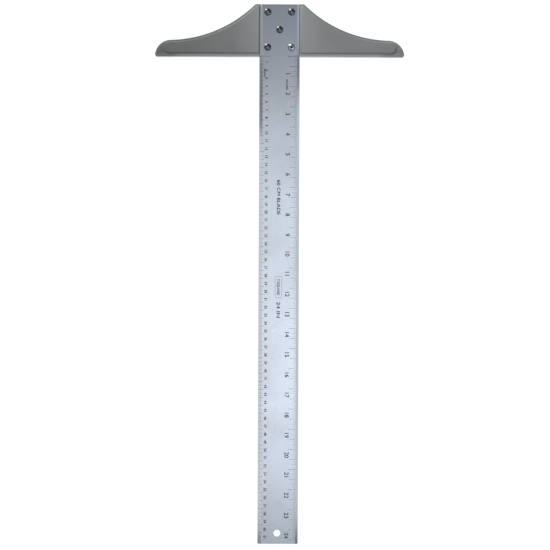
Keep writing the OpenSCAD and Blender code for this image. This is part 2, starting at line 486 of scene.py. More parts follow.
def dress(tree, geometry, finish, result):
    """Ends a tree: makes all instances real and gives them the finish."""
    real = node(tree, "GeometryNodeRealizeInstances", {"Geometry": geometry}).outputs[0]
    dressed = node(tree, "GeometryNodeSetMaterial", {"Geometry": real, "Material": finish}).outputs[0]
    tree.links.new(dressed, result["Geometry"])


def grown(name, tree, points, marks=None, **values):
    """Runs a tree on a few points, which may carry named marks, and keeps what it makes as mesh."""
    mesh = bpy.data.meshes.new(name)
    mesh.from_pydata(points, [], [])
    for key, numbers in (marks or {}).items():
        mesh.attributes.new(key, "FLOAT", "POINT").data.foreach_set("value", numbers)
    made = bpy.data.objects.new(name, mesh)
    bpy.context.collection.objects.link(made)
    modifier = made.modifiers.new("grow", "NODES")
    modifier.node_group = tree
    names = {key.replace("_", " ").title(): value for key, value in values.items()}
    for item in tree.interface.items_tree:
        if item.in_out == "INPUT" and item.name in names:
            modifier[item.identifier] = names[item.name]
    return settle(made)


# %% [markdown]
# ## Shared effects for the finishes
# Grain, fine moulded texture and the marks of handling turn up in several finishes, so each is
# a shader group with named inputs. A group only gives masks and heights. All patterns read
# Object coordinates, in metres, so that they stay fixed to the piece at their real size.


# %% Shader groups
def shader_group(name, inputs, outputs):
    tree = bpy.data.node_groups.new(name, "ShaderNodeTree")
    add_sockets(tree, "INPUT", inputs)
    add_sockets(tree, "OUTPUT", outputs)
    return tree, tree.nodes.new("NodeGroupInput").outputs, tree.nodes.new("NodeGroupOutput").inputs


def noise(tree, vector, scale, detail=2.0, roughness=0.5):
    """Cloudy values. The scale is how many clouds fit in one unit of the vector."""
    made = node(tree, "ShaderNodeTexNoise",
                {"Vector": vector, "Scale": scale, "Detail": detail, "Roughness": roughness})
    return made.outputs["Fac"]


def remap(tree, value, low, high, to_low=0.0, to_high=1.0):
    """Stretches a value from one range to another, clamped."""
    return node(tree, "ShaderNodeMapRange", {"Value": value, "From Min": low, "From Max": high,
                                             "To Min": to_low, "To Max": to_high}).outputs["Result"]


grain, given, gives = shader_group(
    "drawn grain", {"Vector": "Vector", "Cell": "Vector"}, {"Height": "Float"})
fine = noise(grain, vector_math(grain, "DIVIDE", given["Vector"], given["Cell"]), 1.0, 3.0, 0.65)
grain.links.new(fine, gives["Height"])
print("grain", len(grain.nodes), "nodes")

# %% The handling marks: smudges, bent hairline scratches in patches, and rare specks
WANDER_SCALE = 14.0
WANDER = 0.02
HAIRLINE = 0.012
PATCH_SCALE = 45.0
SPECK_SCALE = 260.0
SPECK_PATCH_SCALE = 90.0
marks, given, gives = shader_group(
    "handling marks", {"Vector": "Vector", "Smudge Size": "Float", "Scratch Cell": "Vector"},
    {"Smudge": "Float", "Scratch": "Float", "Speck": "Float"})
spot = given["Vector"]
smudge = noise(marks, spot, math_node(marks, "DIVIDE", 1.0, given["Smudge Size"]), 4.0, 0.6)
marks.links.new(remap(marks, smudge, 0.42, 0.72), gives["Smudge"])
wander = node(marks, "ShaderNodeTexNoise", {"Vector": spot, "Scale": WANDER_SCALE, "Detail": 1.0})
drift = vector_math(marks, "MULTIPLY", wander.outputs["Color"], (WANDER, WANDER, WANDER))
bent = vector_math(marks, "DIVIDE", vector_math(marks, "ADD", spot, drift), given["Scratch Cell"])
cells = node(marks, "ShaderNodeTexVoronoi", {"Vector": bent, "Scale": 1.0}, feature="DISTANCE_TO_EDGE")
hairline = remap(marks, cells.outputs["Distance"], 0.0, HAIRLINE, 1.0, 0.0)
patches = remap(marks, noise(marks, spot, PATCH_SCALE), 0.52, 0.62)
marks.links.new(times(marks, hairline, patches), gives["Scratch"])
dots = node(marks, "ShaderNodeTexVoronoi", {"Vector": spot, "Scale": SPECK_SCALE, "Randomness": 1.0})
rare = remap(marks, noise(marks, spot, SPECK_PATCH_SCALE), 0.6, 0.68)
dot = remap(marks, dots.outputs["Distance"], 0.05, 0.09, 1.0, 0.0)
marks.links.new(times(marks, dot, rare), gives["Speck"])
print("handling marks", len(marks.nodes), "nodes")


# %% Helpers for materials
def finish_of(name, **fixed):
    """A new material, its tree, its Principled shader and its Object coordinates."""
    material = bpy.data.materials.new(name)
    material.use_nodes = True
    tree = material.node_tree
    principled = tree.nodes["Principled BSDF"]
    for key, value in fixed.items():
        principled.inputs[key.replace("_", " ").title().replace("Ior", "IOR")].default_value = value
    place = tree.nodes.new("ShaderNodeTexCoord").outputs["Object"]
    return material, tree, principled, place


def group(tree, kind, **inputs):
    made = node(tree, "ShaderNodeGroup", node_tree=kind)
    for key, value in inputs.items():
        socket = made.inputs[key.replace("_", " ").title()]
        if isinstance(value, bpy.types.NodeSocket):
            tree.links.new(value, socket)
        else:
            socket.default_value = value
    return made.outputs


def blend_colours(tree, factor, first, second):
    made = node(tree, "ShaderNodeMix", {"Factor": factor}, data_type="RGBA")
    for socket, colour in (("A", first), ("B", second)):
        slot_in = next(s for s in made.inputs if s.name == socket and s.type == "RGBA")
        if isinstance(colour, bpy.types.NodeSocket):
            tree.links.new(colour, slot_in)
        else:
            slot_in.default_value = (*colour, 1)
    return next(s for s in made.outputs if s.type == "RGBA")


def bump(tree, principled, height, depth, strength=1.0, over_bump=None):
    """Turns a height into a normal. Bumps can be laid one over another."""
    made = node(tree, "ShaderNodeBump", {"Height": height, "Distance": depth, "Strength": strength})
    if over_bump is not None:
        tree.links.new(over_bump, made.inputs["Normal"])
    tree.links.new(made.outputs["Normal"], principled.inputs["Normal"])
    return made.outputs["Normal"]


# %% [markdown]
# ## Satin aluminium
# The blade is rolled and brushed lengthways before it is anodised, so its grain is thousands of
# streaks about a tenth of a millimetre wide and centimetres long. They scatter light sideways: a
# height for the normal, and a slight change of roughness. The bevels are cut after the brushing
# with a polished tool, so they shine almost like mirrors. Handling leaves faint smudges and a few
# hairline scratches.

# %% The blade's metal
METAL_DULL = (0.655, 0.715, 0.82)
METAL_PALE = (0.69, 0.75, 0.855)
METAL_SMUDGED = (0.65, 0.705, 0.79)
METAL_BARE = (0.82, 0.86, 0.92)
METAL_CUT = (0.73, 0.765, 0.775)
STREAK = (0.00022, 0.02, 0.0006)
BAND = (0.0035, 0.35, 0.01)
STREAK_DEPTH = 0.004 * MM
SCRATCH_DEPTH = 0.01 * MM
RUBBED_W = 0.5 * MM
CREASE_W = 0.2 * MM
CUT_SHARE = 0.7
SATIN = 0.19
BEVEL_SHINE = 0.15
blade_metal, tree, skin, place = finish_of("satin_aluminium", metallic=1.0)
marks_out = group(tree, marks, vector=place, smudge_size=0.07, scratch_cell=(0.004, 0.03, 0.01))
streaks = group(tree, grain, vector=place, cell=STREAK)["Height"]
bands = group(tree, grain, vector=place, cell=BAND)["Height"]
across = parts_of(tree, place)["X"]
rubbed = remap(tree, math_node(tree, "ABSOLUTE", across), blade_half - RUBBED_W, blade_half)
bared = math_node(tree, "MAXIMUM", rubbed, marks_out["Scratch"])
on_bevel = math_node(tree, "MAXIMUM", remap(tree, across, inch_flat_x, inch_flat_x + CREASE_W),
                     remap(tree, across, metric_flat_x, metric_flat_x - CREASE_W))
plain = blend_colours(tree, bands, METAL_DULL, METAL_PALE)
soiled = blend_colours(tree, marks_out["Smudge"], plain, METAL_SMUDGED)
marked = blend_colours(tree, bared, soiled, METAL_BARE)
cut = blend_colours(tree, times(tree, on_bevel, CUT_SHARE), marked, METAL_CUT)
tree.links.new(cut, skin.inputs["Base Color"])
rough = added(tree, SATIN, streaks, 0.08)
rough = added(tree, rough, marks_out["Smudge"], 0.04)
rough = added(tree, rough, on_bevel, -BEVEL_SHINE)
tree.links.new(rough, skin.inputs["Roughness"])
lengthways = bump(tree, skin, streaks, STREAK_DEPTH, 0.5)
bump(tree, skin, times(tree, marks_out["Scratch"], -1.0), SCRATCH_DEPTH, 0.6, lengthways)
print(blade_metal.name, len(tree.nodes), "nodes")

# %% [markdown]
# ## Moulded grey plastic
# The mould's surface is finely eroded, which leaves a pebbly texture a few tenths of a millimetre
# across. The colour is made darker at the left tip and lighter on the right wing and next to the
# blade: a painted sheen, in place of the gloss of the overhead light. Over that lie faint flow
# mottling, a little dust, painted shade on the low rim behind the raised fields, a paler rub at the
# tips, and a paler working edge, which slides on the board: partly rubbing, partly painted light.

# %% The head's plastic
PLASTIC_DEEP = (0.193, 0.197, 0.196)
PLASTIC_PALE = (0.485, 0.497, 0.498)
# The colour of the painted shade on the low rim.
RIM_SHADE = (0.10, 0.103, 0.102)
# The colour of rubbing at the tips, and of rubbing and painted light on the working edge.
PLASTIC_WORN_AND_LIT = (0.66, 0.67, 0.665)
DUST = (0.52, 0.52, 0.50)
SCUFF = (0.44, 0.45, 0.45)
PEBBLES_PER_M = 2600.0
PEBBLE_DEPTH = 0.04 * MM
SCUFF_DEPTH = 0.02 * MM
MOTTLES_PER_M = 28.0
PAINTED_SHEEN_END = 20 * MM
SHEEN_BESIDE_W = 35 * MM
head_plastic, tree, skin, place = finish_of("moulded_grey_plastic", ior=1.5, specular_ior_level=0.5)
marks_out = group(tree, marks, vector=place, smudge_size=0.035, scratch_cell=(0.02, 0.006, 0.01))
pebbles = noise(tree, place, PEBBLES_PER_M, 2.0, 0.6)
mottle = noise(tree, place, MOTTLES_PER_M, 3.0)
across, depth, height = parts_of(tree, place)
off_centre = math_node(tree, "ABSOLUTE", across)
# Painted sheen: the colour is made lighter towards the right wing and next to the blade, in place of the
# gloss of the overhead light.
drift = remap(tree, across, -head_half, PAINTED_SHEEN_END)
sheen_beside_blade = remap(tree, off_centre, blade_half + SHEEN_BESIDE_W, blade_half)
sheen_and_mottle = added(tree, times(tree, drift, 0.50), sheen_beside_blade, 0.40)
sheen_and_mottle = added(tree, sheen_and_mottle, remap(tree, mottle, 0.3, 0.7), 0.12)
plain = blend_colours(tree, sheen_and_mottle, PLASTIC_DEEP, PLASTIC_PALE)

# %% Painted shade on the low rim, rubbing at the tips, and rubbing and painted light on the working edge
TIP_FROM = 34 * MM
TIP_TO = 20 * MM
EDGE_BLUR = 0.3 * MM
MOULDED = 0.36
facing = node(tree, "ShaderNodeNewGeometry").outputs["Normal"]
tilt = remap(tree, parts_of(tree, facing)["Z"], 0.55, 0.95, 1.0, 0.0)
high_up = remap(tree, height, guide_h, field_top)
near_tip = remap(tree, off_centre, head_half - TIP_FROM, head_half - TIP_TO, 0.1, 1.0)
inner = math_node(tree, "SUBTRACT", 1.0, near_tip)
rub = times(tree, tilt, high_up, remap(tree, mottle, 0.35, 0.6), near_tip)
at_front = remap(tree, depth, front_ledge_w + EDGE_BLUR, front_ledge_w - EDGE_BLUR)
# The working edge is made lighter: partly rubbing where it slides on the board, partly painted light,
# stronger to the right like the painted sheen.
slid_and_painted_light = times(tree, at_front, added(tree, 0.2, inner, 0.55), added(tree, 0.82, drift, 0.40))
# Painted shade: the low rim behind the raised fields is darkened, less towards the tips and not at the front.
low = remap(tree, height, guide_h - 0.1 * MM, field_top - EDGE_BLUR, 0.75, 0.0)
rim_shade_mask = times(tree, low, math_node(tree, "SUBTRACT", inner, at_front, clamp=True))
wear_and_painted_light = math_node(tree, "MAXIMUM", times(tree, rub, 0.30), slid_and_painted_light)
rim_shaded = blend_colours(tree, rim_shade_mask, plain, RIM_SHADE)
worn_and_painted_light = blend_colours(tree, wear_and_painted_light, rim_shaded, PLASTIC_WORN_AND_LIT)
dusty = blend_colours(tree, times(tree, marks_out["Speck"], 0.5), worn_and_painted_light, DUST)
scuffed = blend_colours(tree, times(tree, marks_out["Scratch"], 0.4), dusty, SCUFF)
tree.links.new(scuffed, skin.inputs["Base Color"])
rough = added(tree, MOULDED, pebbles, 0.16)
rough = added(tree, rough, marks_out["Smudge"], -0.08)
tree.links.new(rough, skin.inputs["Roughness"])
pebbled = bump(tree, skin, pebbles, PEBBLE_DEPTH, 0.45)
bump(tree, skin, marks_out["Scratch"], SCUFF_DEPTH, 0.4, pebbled)
print(head_plastic.name, len(tree.nodes), "nodes")

# %% [markdown]
# ## Metals of the fasteners, and the ink
# Rivet bodies are soft aluminium. Four are coloured dark, a painted reflection of the dim room round
# them, and the one at the front right is coloured bright, a painted reflection of brighter light. The
# stubs are plain steel, and catch the light where they broke, but the one at the front right broke deep
# in its bore and is coloured nearly black, painted shade in the bore. The washers are zinc plated, and
# show the plating's spangle. The ink is baked into the anodising, so it is nearly flat, dark grey, and
# a little thin in spots.


# %% The fasteners' metals and the ink
def fastener_metal(name, dark, light, roughness, dent_scale, dent_depth, front_right_paint=None):
    """A bare metal with cloudy colour, uneven gloss and small dents. The piece at the front right can be
    given another colour: painted reflection on a rivet, painted shade on a stub.
    """
    material, tree, skin, place = finish_of(name, metallic=1.0)
    marks_out = group(tree, marks, vector=place, smudge_size=0.006, scratch_cell=(0.003, 0.004, 0.003))
    cloud = noise(tree, place, dent_scale, 3.0)
    colour = blend_colours(tree, remap(tree, cloud, 0.3, 0.7), dark, light)
    if front_right_paint is not None:
        front_right_top = (RIVETS[FRONT_RIGHT].x, RIVETS[FRONT_RIGHT].y, blade_high.z)
        away = node(tree, "ShaderNodeVectorMath", {0: place, 1: front_right_top}, operation="DISTANCE")
        near = remap(tree, away.outputs["Value"], PAINT_REACH, PAINT_END, 1.0, 0.0)
        colour = blend_colours(tree, near, colour, front_right_paint)
    tree.links.new(colour, skin.inputs["Base Color"])
    tree.links.new(added(tree, roughness, marks_out["Smudge"], 0.15), skin.inputs["Roughness"])
    dented = bump(tree, skin, cloud, dent_depth, 0.5)
    bump(tree, skin, times(tree, marks_out["Scratch"], -1.0), DENT_SCRATCH, 0.5, dented)
    return material


FRONT_RIGHT = PLACES.index("front_right")
PAINT_REACH = 6 * MM
PAINT_END = 7 * MM
DENT_SCRATCH = 0.02 * MM
# Four rivet bodies are dark, a painted reflection of the dim room, and the one at the front right is bright,
# a painted reflection of brighter light.
rivet_metal = fastener_metal(
    "tumbled_aluminium", dark=(0.13, 0.14, 0.16), light=(0.22, 0.23, 0.25), roughness=0.20,
    dent_scale=700.0, dent_depth=0.03 * MM, front_right_paint=(0.56, 0.60, 0.66))
# The stub at the front right is painted nearly black: painted shade in its deep bore.
mandrel_steel = fastener_metal(
    "broken_steel", dark=(0.46, 0.47, 0.48), light=(0.66, 0.67, 0.68), roughness=0.38,
    dent_scale=2200.0, dent_depth=0.08 * MM, front_right_paint=(0.03, 0.03, 0.035))
washer_steel = fastener_metal(
    "zinc_plate", dark=(0.46, 0.48, 0.50), light=(0.66, 0.67, 0.68), roughness=0.30,
    dent_scale=420.0, dent_depth=0.01 * MM)

INK_FULL = (0.028, 0.029, 0.034)
INK_THIN = (0.15, 0.155, 0.17)
scale_ink, tree, skin, place = finish_of("scale_ink", specular_ior_level=0.4)
thin = remap(tree, noise(tree, place, 900.0, 3.0), 0.58, 0.75)
tree.links.new(blend_colours(tree, thin, INK_FULL, INK_THIN), skin.inputs["Base Color"])
tree.links.new(added(tree, 0.6, thin, -0.15), skin.inputs["Roughness"])
print("materials", len(bpy.data.materials))

# %% [markdown]
# ## The blind rivets
# A blind rivet is three turned pieces: a hollow aluminium body with a dome, the steel mandrel
# that is pulled up through it until it snaps off inside the dome, and a washer behind. Each is
# turned once from its profile. A tree sets the same piece at every rivet's place, a little
# turned and tilted, as rivets set by hand are. One stub broke deeper than the others.

# %% The tree that sets the fasteners
fastener_tree, given, result = geometry_tree(
    "fastener set", piece="Object", tilt="Float", seed="Int", snap_height="Float", finish="Material")
piece = node(fastener_tree, "GeometryNodeObjectInfo", {"Object": given["Piece"]}).outputs["Geometry"]
lean = times(fastener_tree, given["Tilt"], -1.0)
least = vector_of(fastener_tree, X=lean, Y=lean)
most = vector_of(fastener_tree, X=given["Tilt"], Y=given["Tilt"], Z=math.tau)
turn = node(fastener_tree, "FunctionNodeRandomValue", {"Min": least, "Max": most, "Seed": given["Seed"]},
            data_type="FLOAT_VECTOR")
placed = node(fastener_tree, "GeometryNodeInstanceOnPoints",
              {"Points": given["Geometry"], "Instance": piece, "Rotation": turn.outputs[0]})
real = node(fastener_tree, "GeometryNodeRealizeInstances", {"Geometry": placed.outputs[0]})
sink = node(fastener_tree, "GeometryNodeInputNamedAttribute", {"Name": "sink"}, data_type="FLOAT")
position = node(fastener_tree, "GeometryNodeInputPosition").outputs[0]
above = math_node(fastener_tree, "GREATER_THAN", parts_of(fastener_tree, position)["Z"], given["Snap Height"])
drop = vector_of(fastener_tree, Z=times(fastener_tree, sink.outputs[0], -1.0))
snapped = node(fastener_tree, "GeometryNodeSetPosition",
               {"Geometry": real.outputs[0], "Selection": above, "Offset": drop})
dress(fastener_tree, snapped.outputs[0], given["Finish"], result)
print("fastener set", len(fastener_tree.nodes), "nodes")

# %% The function that runs it
FASTENER_STEPS = 40
SHARP_FROM = math.radians(38)
SNAP_DEPTH = 1.5 * MM


def set_fasteners(name, profile, finish, tilt, seed, sinks=(0, 0, 0, 0, 0)):
    """Turns one piece and sets it at every rivet's place. Heights are from the blade's top."""
    blank = turned("blank", profile, FASTENER_STEPS)
    for polygon in blank.data.polygons:
        polygon.use_smooth = True
    blank.data.set_sharp_from_angle(angle=SHARP_FROM)
    points = [(r.x, r.y, blade_high.z) for r in RIVETS]
    made = grown(name, fastener_tree, points, {"sink": sinks}, piece=blank, tilt=math.radians(tilt),
                 seed=seed, snap_height=blade_high.z - SNAP_DEPTH, finish=finish)
    bpy.data.objects.remove(blank)
    print(name, len(made.data.polygons), "faces")
    return made


# %% The rivet bodies
dome_h = rivet_boxes[0][1].z - blade_high.z
flare_foot = rivet_boxes[0][0].z - blade_high.z
washer_under = washer_low.z - blade_high.z
RIM_T = 0.3 * MM
BORE_R = 1.35 * MM
LIP_W = 0.3 * MM
SHANK_R = 2.4 * MM
DOME_EDGE = 0.12 * MM
DOME_STEPS = 9
flare_r = 3.7 * MM
ball_r = (dome_r**2 + (dome_h - RIM_T) ** 2) / (2 * (dome_h - RIM_T))


def dome_z(r):
    """The height of the dome's ball at a radius."""
    return dome_h - ball_r + math.sqrt(ball_r**2 - r**2)


lip_r = BORE_R + LIP_W
dome_radii = [lip_r + (dome_r - DOME_EDGE - lip_r) * i / DOME_STEPS for i in range(DOME_STEPS + 1)]
dome = [(BORE_R, dome_z(BORE_R) - 0.32 * MM), (BORE_R + 0.08 * MM, dome_z(BORE_R) - 0.1 * MM)]
dome += [(r, dome_z(r)) for r in dome_radii]
rim = [(dome_r, 0.16 * MM), (dome_r - 0.08 * MM, 0.02 * MM), (SHANK_R, 0.0)]
flare = [(SHANK_R, washer_under), (flare_r - 0.35 * MM, washer_under), (flare_r, washer_under - 0.5 * MM),
         (flare_r, washer_under - 0.95 * MM), (flare_r - 0.4 * MM, flare_foot + 0.35 * MM),
         (SHANK_R + 0.45 * MM, flare_foot), (BORE_R, flare_foot)]
rivets = set_fasteners("rivet_bodies", dome + rim + flare, rivet_metal, tilt=0.8, seed=4)

# %% The mandrel stubs
stub_low, stub_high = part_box("mandrel_middle")
STEM_R = 1.3 * MM
STUB_SINKS = [0, 0, 0.1 * MM, 0.05 * MM, 1.4 * MM]
ease = 0.1 * MM
button_r = (stub_high.x - stub_low.x) / 2
stub_foot = stub_low.z - blade_high.z
stub_top = stub_high.z - blade_high.z
stub = [(0, stub_foot), (STEM_R - ease, stub_foot), (button_r - ease, stub_foot + 0.5 * MM),
        (button_r, stub_foot + 0.7 * MM), (button_r, flare_foot - ease), (button_r - ease, flare_foot),
        (STEM_R, flare_foot), (STEM_R, stub_top - 0.5 * MM), (STEM_R - 0.2 * MM, stub_top - 0.18 * MM),
        (STEM_R - 0.45 * MM, stub_top - 0.02 * MM), (0.5 * MM, stub_top - ease), (0, stub_top)]
stubs = set_fasteners("mandrel_stubs", stub, mandrel_steel, tilt=0.0, seed=7, sinks=STUB_SINKS)

# %% The backing washers
washer_r = (washer_high.x - washer_low.x) / 2
washer_over = washer_high.z - blade_high.z
ease = 0.12 * MM
ring = [(rivet_hole_r, washer_under + ease), (rivet_hole_r + ease, washer_under),
        (washer_r - ease, washer_under), (washer_r, washer_under + ease),
        (washer_r, washer_over - ease), (washer_r - ease, washer_over),
        (rivet_hole_r + ease, washer_over), (rivet_hole_r, washer_over - ease)]
washers = set_fasteners("backing_washers", ring, washer_steel, tilt=0.0, seed=2)

# %% [markdown]
# ## The graduations
# About a thousand lines follow one rule: every line stands at its number times the pitch, and
# its length depends on what that number can be divided by. One tree draws a scale from a short
# list of divisions. A line is a bar with a joint in the middle, which folds over the edge of the
# bevel, so that the metric lines run down the bevel to the edge.


# %% The tree that rules a scale
def ruled_scale(name, count, pitch, start_x, inward, divisions, zero_length):
    """Rules one scale. divisions gives (every how many lines, how long, how wide), finest first."""
    tree, given, result = geometry_tree(
        name, count="Int", pitch="Float", start="Float", inward="Float", ink_height="Float",
        flat_half="Float", bevel_slope="Float", surface="Float", finish="Material")
    step = vector_of(tree, Y=times(tree, given["Pitch"], -1.0))
    line = node(tree, "GeometryNodeMeshLine", {"Count": given["Count"], "Offset": step}, mode="OFFSET")
    index = node(tree, "GeometryNodeInputIndex").outputs[0]

    def either(choice, if_not, if_so):
        return node(tree, "GeometryNodeSwitch", {"Switch": choice, "False": if_not, "True": if_so},
                    input_type="FLOAT").outputs[0]

    def stored(geometry, mark, value):
        return node(tree, "GeometryNodeStoreNamedAttribute",
                    {"Geometry": geometry, "Name": mark, "Value": value}, data_type="FLOAT").outputs[0]

    def mark_of(mark):
        return node(tree, "GeometryNodeInputNamedAttribute", {"Name": mark}, data_type="FLOAT").outputs[0]

    _, length, width = divisions[0]
    for every, long, wide in divisions[1:]:
        falls_here = math_node(tree, "LESS_THAN", math_node(tree, "MODULO", index, float(every)), 0.5)
        length = either(falls_here, length, long)
        width = either(falls_here, width, wide)
    length = either(math_node(tree, "LESS_THAN", index, 0.5), length, zero_length)
    measured = stored(line.outputs[0], "line_length", length)

    size = vector_of(tree, X=1.0, Y=1.0, Z=given["Ink Height"])
    bar = node(tree, "GeometryNodeMeshCube", {"Size": size, "Vertices X": 3})
    here = node(tree, "GeometryNodeInputPosition").outputs[0]
    tagged = stored(bar.outputs[0], "share", math_node(tree, "ADD", parts_of(tree, here)["X"], 0.5))
    thin = vector_of(tree, X=1.0, Y=width, Z=1.0)
    lines = node(tree, "GeometryNodeInstanceOnPoints",
                 {"Points": measured, "Instance": tagged, "Scale": thin}).outputs[0]
    real = node(tree, "GeometryNodeRealizeInstances", {"Geometry": lines}).outputs[0]

    share = mark_of("share")
    own = mark_of("line_length")
    bevel = math_node(tree, "SUBTRACT", times(tree, given["Start"], -1.0), given["Flat Half"])
    is_joint = node(tree, "FunctionNodeCompare", {0: share, 1: 0.5, "Epsilon": 0.1},
                    data_type="FLOAT", operation="EQUAL").outputs[0]
    crosses = math_node(tree, "GREATER_THAN", own, bevel)
    has_bevel = math_node(tree, "GREATER_THAN", bevel, 0.1 * MM)
    reach = either(times(tree, crosses, has_bevel, is_joint), times(tree, share, own), bevel)
    x = added(tree, given["Start"], reach, given["Inward"])
    past = math_node(tree, "SUBTRACT", times(tree, x, -1.0), given["Flat Half"])
    fall = times(tree, math_node(tree, "MAXIMUM", past, 0.0), given["Bevel Slope"])
    place = parts_of(tree, here)
    z = math_node(tree, "ADD", place["Z"], math_node(tree, "SUBTRACT", given["Surface"], fall))
    spot = vector_of(tree, X=x, Y=place["Y"], Z=z)
    laid = node(tree, "GeometryNodeSetPosition", {"Geometry": real, "Position": spot}).outputs[0]
    dress(tree, laid, given["Finish"], result)
    made = grown(name, tree, [(0, 0, 0)], count=count, pitch=pitch, start=start_x, inward=inward,
                 ink_height=INK_H, flat_half=-metric_flat_x,
                 bevel_slope=(blade_high.z - blade_low.z - bevel_edge_t) / metric_bevel_w,
                 surface=blade_high.z, finish=scale_ink)
    print(name, count, "lines", len(made.data.polygons), "faces")
    return made


# %% The two scales
INCH = 25.4 * MM
INK_H = 0.04 * MM
MERGE = 1e-6
FINE, MEDIUM, BOLD = 0.13 * MM, 0.22 * MM, 0.34 * MM
SCALE_INCHES = 24
INCH_PARTS = 16
METRIC_LINES = 610
metric_lines = ruled_scale(
    "metric_lines", METRIC_LINES, 1 * MM, -blade_half, 1.0,
    [(1, 3.2 * MM, FINE), (5, 4.6 * MM, MEDIUM), (10, 6.7 * MM, BOLD)], zero_length=14.2 * MM)
inch_lines = ruled_scale(
    "inch_lines", SCALE_INCHES * INCH_PARTS + 1, INCH / INCH_PARTS, inch_flat_x, -1.0,
    [(1, 2.4 * MM, FINE), (2, 3.5 * MM, MEDIUM), (4, 4.9 * MM, MEDIUM), (8, 9.0 * MM, BOLD),
     (16, 7.4 * MM, BOLD)], zero_length=11.3 * MM)

# %% [markdown]
# ## The numerals and the words
# The numerals read down the blade, with their feet towards the metric edge. A Repeat zone counts
# through them: it turns each number into a string, the string into curves, fills them and gives
# them the ink's thickness. The few words go through the same lettering group once each, and the
# printed frame round one of them goes through the same filling.

# %% The filling group: flat closed curves become a thin solid of ink
inking, given, result = geometry_tree("inking", thickness="Float")
flat = node(inking, "GeometryNodeFillCurve", {"Curve": given["Geometry"]}, mode="NGONS").outputs[0]
upward = vector_of(inking, Z=given["Thickness"])
raised = node(inking, "GeometryNodeExtrudeMesh", {"Mesh": flat, "Offset": upward, "Individual": False})
under = node(inking, "GeometryNodeFlipFaces", {"Mesh": flat}).outputs[0]
both = joined(inking, raised.outputs[0], under)
closed = node(inking, "GeometryNodeMergeByDistance", {"Geometry": both, "Distance": MERGE})
inking.links.new(closed.outputs[0], result["Geometry"])
print("inking", len(inking.nodes), "nodes")

# %% The lettering group
LETTER_SOCKETS = {"letters": "String", "height": "Float", "boldness": "Float", "ink_height": "Float"}
lettering, given, result = geometry_tree("lettering", **LETTER_SOCKETS)
set_type = node(lettering, "GeometryNodeStringToCurves",
                {"String": given["Letters"], "Size": given["Height"]},
                align_x="RIGHT", align_y="BOTTOM_BASELINE").outputs[0]
outlines = node(lettering, "GeometryNodeRealizeInstances", {"Geometry": set_type}).outputs[0]
coarse = node(lettering, "GeometryNodeSetSplineResolution", {"Geometry": outlines, "Resolution": 3})
traced = node(lettering, "GeometryNodeResampleCurve", {"Curve": coarse.outputs[0]}, mode="EVALUATED")
heading = node(lettering, "GeometryNodeInputTangent").outputs[0]
outward = node(lettering, "ShaderNodeVectorMath",
               {0: vector_math(lettering, "CROSS_PRODUCT", heading, (0, 0, 1)), "Scale": given["Boldness"]},
               operation="SCALE").outputs[0]
bold = node(lettering, "GeometryNodeSetPosition", {"Geometry": traced.outputs[0], "Offset": outward})
filled = node(lettering, "GeometryNodeGroup",
              {"Geometry": bold.outputs[0], "Thickness": given["Ink Height"]}, node_tree=inking)
lettering.links.new(filled.outputs[0], result["Geometry"])
print("lettering", len(lettering.nodes), "nodes")


# %% The tree that numbers a scale
numbering, given, result = geometry_tree(
    "numbering", count="Int", pitch="Float", height="Float", boldness="Float", ink_height="Float",
    finish="Material")
enter = numbering.nodes.new("GeometryNodeRepeatInput")
leave = numbering.nodes.new("GeometryNodeRepeatOutput")
enter.pair_with_output(leave)
numbering.links.new(given["Count"], enter.inputs["Iterations"])
number = math_node(numbering, "ADD", enter.outputs["Iteration"], 1.0)
digits = node(numbering, "FunctionNodeValueToString", {"Value": number}).outputs[0]
label = node(numbering, "GeometryNodeGroup",
             {"Letters": digits} | {key: given[key] for key in ("Height", "Boldness", "Ink Height")},
             node_tree=lettering).outputs[0]
along = times(numbering, number, times(numbering, given["Pitch"], -1.0))
moved = node(numbering, "GeometryNodeTransform",
             {"Geometry": label, "Translation": vector_of(numbering, Y=along),
              "Rotation": (0, 0, -RIGHT_ANGLE)}).outputs[0]
numbering.links.new(joined(numbering, moved, enter.outputs["Geometry"]), leave.inputs["Geometry"])
dress(numbering, leave.outputs["Geometry"], given["Finish"], result)
print("numbering", len(numbering.nodes), "nodes")


# %% The numerals
def numbered(name, count, pitch, cap_height, baseline_x, lead):
    """Numbers a scale from 1. Each label ends a little before its line."""
    made = grown(name, numbering, [(0, 0, 0)], count=count, pitch=pitch, height=cap_height / CAP_SHARE,
                 **PRINTED)
    made.data.transform(Matrix.Translation((baseline_x, lead, blade_high.z)))
    print(name, count, "numbers", len(made.data.polygons), "faces")
    return made


CAP_SHARE = 0.72
BOLDNESS = 0.12 * MM
PRINTED = {"boldness": BOLDNESS, "ink_height": INK_H / 2, "finish": scale_ink}
inch_numbers = numbered("inch_numbers", SCALE_INCHES, INCH, cap_height=5.5 * MM, baseline_x=8.3 * MM,
                        lead=1.7 * MM)
metric_numbers = numbered("metric_numbers", METRIC_LINES // 10, 10 * MM, cap_height=3.3 * MM,
                          baseline_x=-17.7 * MM, lead=1.5 * MM)

